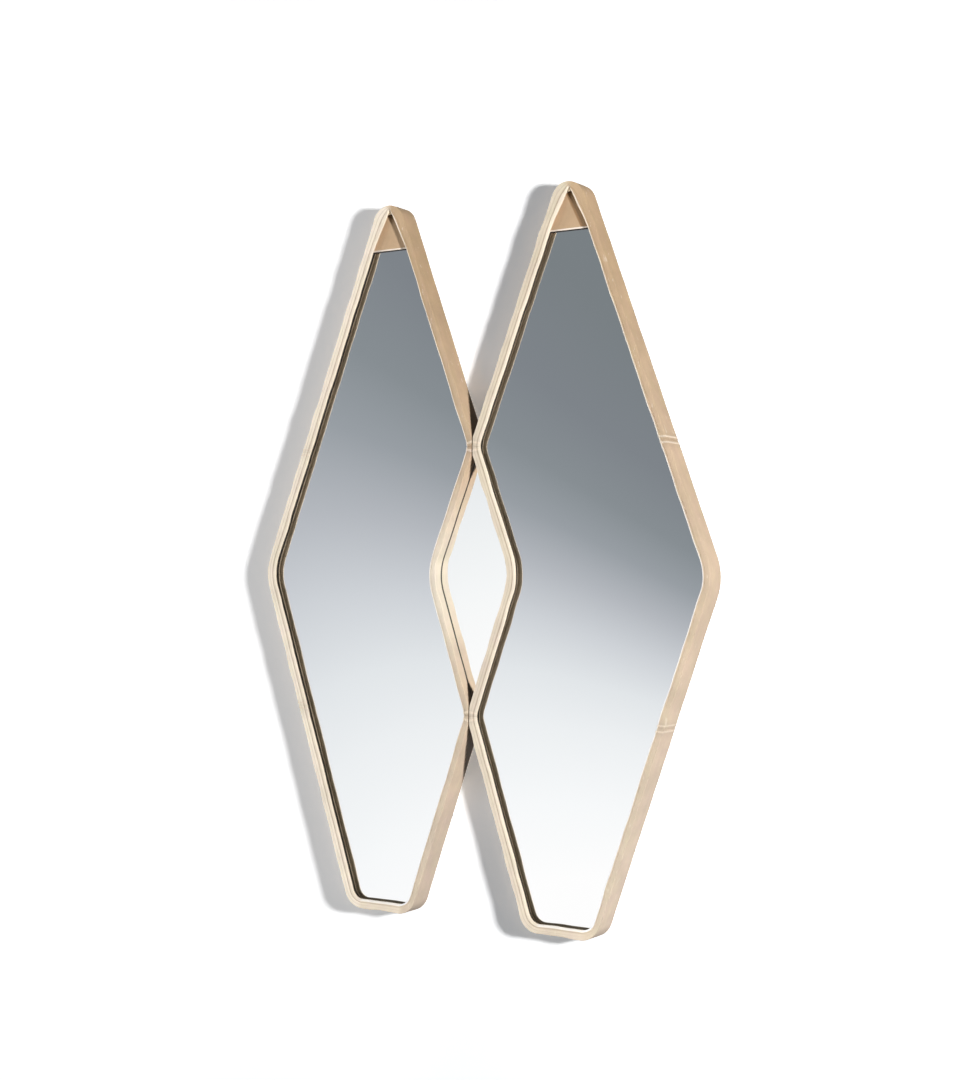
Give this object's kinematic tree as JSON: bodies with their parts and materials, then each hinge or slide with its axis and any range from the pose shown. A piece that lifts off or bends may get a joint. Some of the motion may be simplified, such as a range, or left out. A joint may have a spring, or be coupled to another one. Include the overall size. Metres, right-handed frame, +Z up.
{
  "type": "wall mirror",
  "caption": "Wall mirror of paired tall diamond frames in stitched tan hide, touching on the centre line around a small diamond mirror, hung from keyhole plates.",
  "frame": {"origin": "midway between the two keyhole entries, on the plane of the hanger plates and back boards", "axes": "+X to the right seen from the front, +Y into the wall, +Z up; the glass faces -Y"},
  "size_m": [1.0662, 0.053, 1.4819],
  "materials": {
    "hide": "smooth tan hide, matt",
    "mirror": "silvered float glass",
    "core_wood": "dark stained laminated wood",
    "board": "plain plywood",
    "steel": "zinc plated",
    "bumper": "soft rubber",
    "tape": "foam mounting tape"
  },
  "bodies": {
    "mirror": {"bridge_bar_lower": "steel", "bridge_bar_upper": "steel", "bridge_screws": "steel", "bumpers": "bumper", "button_screws": "steel", "centre_board": "board", "centre_glass": "mirror", "centre_tape": "tape", "hanger_screws": "steel", "join_bolts": "steel", "join_nuts": "steel", "left_apex_block": "core_wood", "left_apex_hide": "hide", "left_apex_panel": "board", "left_back_board": "board", "left_core_bottom": "core_wood", "left_core_corner": "core_wood", "left_core_fold": "core_wood", "left_core_top_inner": "core_wood", "left_core_top_outer": "core_wood", "left_glass": "mirror", "left_hanger_plate": "steel", "left_hide_bottom": "hide", "left_hide_corner": "hide", "left_hide_fold": "hide", "left_hide_top": "hide", "left_spacer": "core_wood", "right_apex_block": "core_wood", "right_apex_hide": "hide", "right_apex_panel": "board", "right_back_board": "board", "right_core_bottom": "core_wood", "right_core_corner": "core_wood", "right_core_fold": "core_wood", "right_core_top_inner": "core_wood", "right_core_top_outer": "core_wood", "right_glass": "mirror", "right_hanger_plate": "steel", "right_hide_bottom": "hide", "right_hide_corner": "hide", "right_hide_fold": "hide", "right_hide_top": "hide", "right_spacer": "core_wood"},
    "right_button_upper_outer": {"right_button_upper_outer": "steel"},
    "right_button_upper_inner": {"right_button_upper_inner": "steel"},
    "right_button_lower_outer": {"right_button_lower_outer": "steel"},
    "right_button_lower_inner": {"right_button_lower_inner": "steel"},
    "left_button_upper_outer": {"left_button_upper_outer": "steel"},
    "left_button_upper_inner": {"left_button_upper_inner": "steel"},
    "left_button_lower_outer": {"left_button_lower_outer": "steel"},
    "left_button_lower_inner": {"left_button_lower_inner": "steel"}
  },
  "joints": [
    {"name": "right_upper_outer_turn", "type": "hinge", "parent": "mirror", "child": "right_button_upper_outer", "pos_m": [0.36437, 0.00105, -0.267], "axis": [0, 1, 0], "range_deg": [0, 90]},
    {"name": "right_upper_inner_turn", "type": "hinge", "parent": "mirror", "child": "right_button_upper_inner", "pos_m": [0.07163, 0.00105, -0.267], "axis": [0, -1, 0], "range_deg": [0, 90]},
    {"name": "right_lower_outer_turn", "type": "hinge", "parent": "mirror", "child": "right_button_lower_outer", "pos_m": [0.36413, 0.00105, -1.217], "axis": [0, 1, 0], "range_deg": [0, 90]},
    {"name": "right_lower_inner_turn", "type": "hinge", "parent": "mirror", "child": "right_button_lower_inner", "pos_m": [0.07187, 0.00105, -1.217], "axis": [0, -1, 0], "range_deg": [0, 90]},
    {"name": "left_upper_outer_turn", "type": "hinge", "parent": "mirror", "child": "left_button_upper_outer", "pos_m": [-0.36437, 0.00105, -0.267], "axis": [0, -1, 0], "range_deg": [0, 90]},
    {"name": "left_upper_inner_turn", "type": "hinge", "parent": "mirror", "child": "left_button_upper_inner", "pos_m": [-0.07163, 0.00105, -0.267], "axis": [0, 1, 0], "range_deg": [0, 90]},
    {"name": "left_lower_outer_turn", "type": "hinge", "parent": "mirror", "child": "left_button_lower_outer", "pos_m": [-0.36413, 0.00105, -1.217], "axis": [0, -1, 0], "range_deg": [0, 90]},
    {"name": "left_lower_inner_turn", "type": "hinge", "parent": "mirror", "child": "left_button_lower_inner", "pos_m": [-0.07187, 0.00105, -1.217], "axis": [0, 1, 0], "range_deg": [0, 90]}
  ]
}
